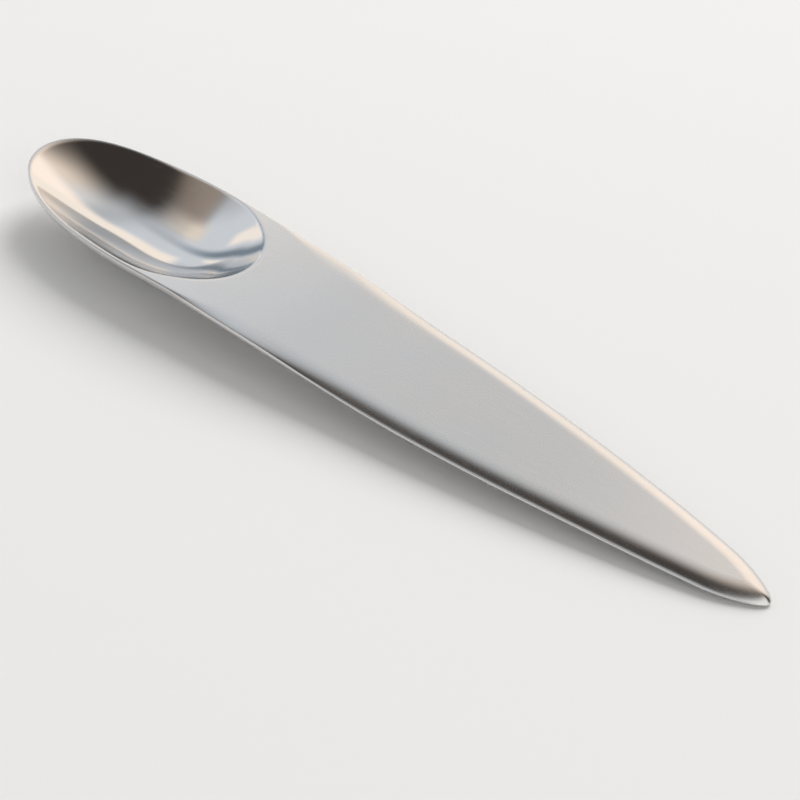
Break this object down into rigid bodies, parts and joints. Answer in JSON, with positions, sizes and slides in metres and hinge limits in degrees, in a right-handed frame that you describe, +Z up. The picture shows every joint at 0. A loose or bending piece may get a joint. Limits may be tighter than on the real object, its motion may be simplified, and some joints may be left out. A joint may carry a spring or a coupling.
{
  "type": "teaspoon",
  "caption": "One-piece teaspoon: an oval bowl pressed into the broad end of a flat leaf-shaped handle that narrows to a rounded tip.",
  "frame": {"origin": "on the table under the middle of the spoon's length, the centre of the bounding box's bottom face", "axes": "+X from the nose of the bowl to the tip of the handle, +Y across the spoon, +Z up with the bowl open upwards"},
  "size_m": [0.14, 0.0252, 0.0093],
  "materials": {
    "satin_steel": "satin"
  },
  "bodies": {
    "root": {"spoon": "satin_steel"}
  },
  "joints": []
}
